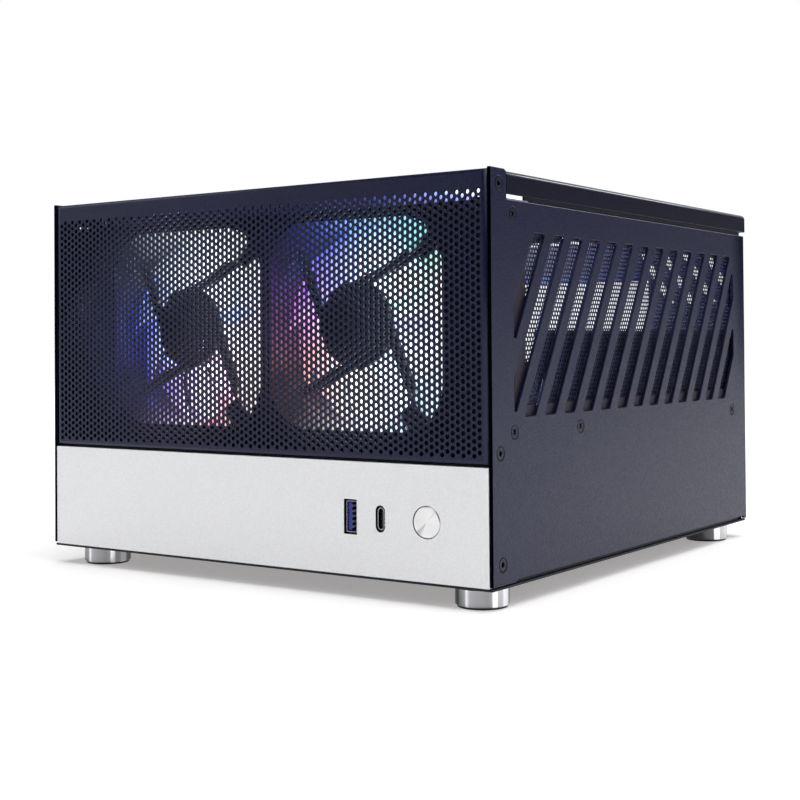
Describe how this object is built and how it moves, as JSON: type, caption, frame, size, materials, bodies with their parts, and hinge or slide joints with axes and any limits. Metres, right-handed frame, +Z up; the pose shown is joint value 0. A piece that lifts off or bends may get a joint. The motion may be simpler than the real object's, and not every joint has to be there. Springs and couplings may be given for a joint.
{
  "type": "computer case",
  "caption": "Compact computer case with slotted side panels, perforated front over two fans, metal fascia with power button and sockets, lift-off cover and turned feet.",
  "frame": {"origin": "centre of the bounding box, on the surface that the foot pads stand on", "axes": "front faces -Y, +X is right as the front is looked at, +Z up"},
  "size_m": [0.2434, 0.2618, 0.1702],
  "materials": {
    "case_powder": "fine-textured satin powder coat, blue-black",
    "inner_powder": "satin black powder coat",
    "fascia_metal": "bead-blasted anodised, pale silver",
    "button_metal": "spun concentric finish, bright",
    "foot_metal": "turned and polished",
    "rubber_black": "matt",
    "fan_plastic": "moulded black",
    "fan_clear": "frosted translucent, lit from the hub",
    "copper_winding": "varnished copper wire",
    "screw_black": "black zinc",
    "screw_steel": "bright zinc",
    "brass": "turned brass",
    "filter_border": "magnetic strip, brown-black",
    "filter_screen": "perforated dark sheet",
    "board_green": "solder mask",
    "socket_steel": "stamped bright steel",
    "tongue_blue": "moulded blue",
    "tongue_black": "moulded black",
    "contact_gold": "gold flash",
    "sleeve_plastic": "moulded black"
  },
  "bodies": {
    "case": {"right_side_panel": "case_powder", "left_side_panel": "case_powder", "base_tray": "inner_powder", "rear_panel": "inner_powder", "pin_grommets": "rubber_black", "front_mesh_panel": "case_powder", "front_fascia": "fascia_metal", "fan_bracket": "inner_powder", "fan_frame_left": "fan_plastic", "fan_frame_right": "fan_plastic", "fan_stator_left": "copper_winding", "fan_stator_right": "copper_winding", "fan_screws": "screw_black", "mid_tray": "inner_powder", "board_standoffs": "brass", "filter_frame_left": "filter_border", "filter_frame_right": "filter_border", "filter_mesh_left": "filter_screen", "filter_mesh_right": "filter_screen", "slot_covers": "inner_powder", "slot_cover_screws": "screw_steel", "button_housing": "sleeve_plastic", "power_switch": "sleeve_plastic", "io_board": "board_green", "io_bracket": "socket_steel", "io_board_screws": "screw_steel", "usb_a_shell": "socket_steel", "usb_a_tongue": "tongue_blue", "usb_a_contacts": "contact_gold", "usb_c_shell": "socket_steel", "usb_c_tongue": "tongue_black", "side_panel_screws": "screw_black", "front_hex_screws": "screw_black", "fascia_screws": "screw_steel", "foot_front_left": "foot_metal", "foot_front_right": "foot_metal", "foot_rear_left": "foot_metal", "foot_rear_right": "foot_metal", "foot_pads": "rubber_black", "foot_screws": "screw_steel", "rear_panel_rivets": "screw_steel"},
    "cover": {"top_cover": "case_powder", "cover_rails": "inner_powder", "cover_pins": "screw_steel"},
    "fan_rotor_l": {"fan_rotor_left": "fan_clear"},
    "fan_rotor_r": {"fan_rotor_right": "fan_clear"},
    "power_button": {"power_button_cap": "button_metal"}
  },
  "joints": [
    {"name": "cover_lift", "type": "slide", "parent": "case", "child": "cover", "axis": [0, 0, 1], "range_m": [0, 0.06]},
    {"name": "fan_left_spin", "type": "hinge", "parent": "case", "child": "fan_rotor_l", "pos_m": [-0.0473, -0.10085, 0.1107], "axis": [0, 1, 0], "continuous": true},
    {"name": "fan_right_spin", "type": "hinge", "parent": "case", "child": "fan_rotor_r", "pos_m": [0.0473, -0.10085, 0.1107], "axis": [0, 1, 0], "continuous": true},
    {"name": "power_button_press", "type": "slide", "parent": "case", "child": "power_button", "axis": [0, 1, 0], "range_m": [0, 0.0008], "stiffness_N_per_m": 900, "springref_m": -0.0004}
  ]
}
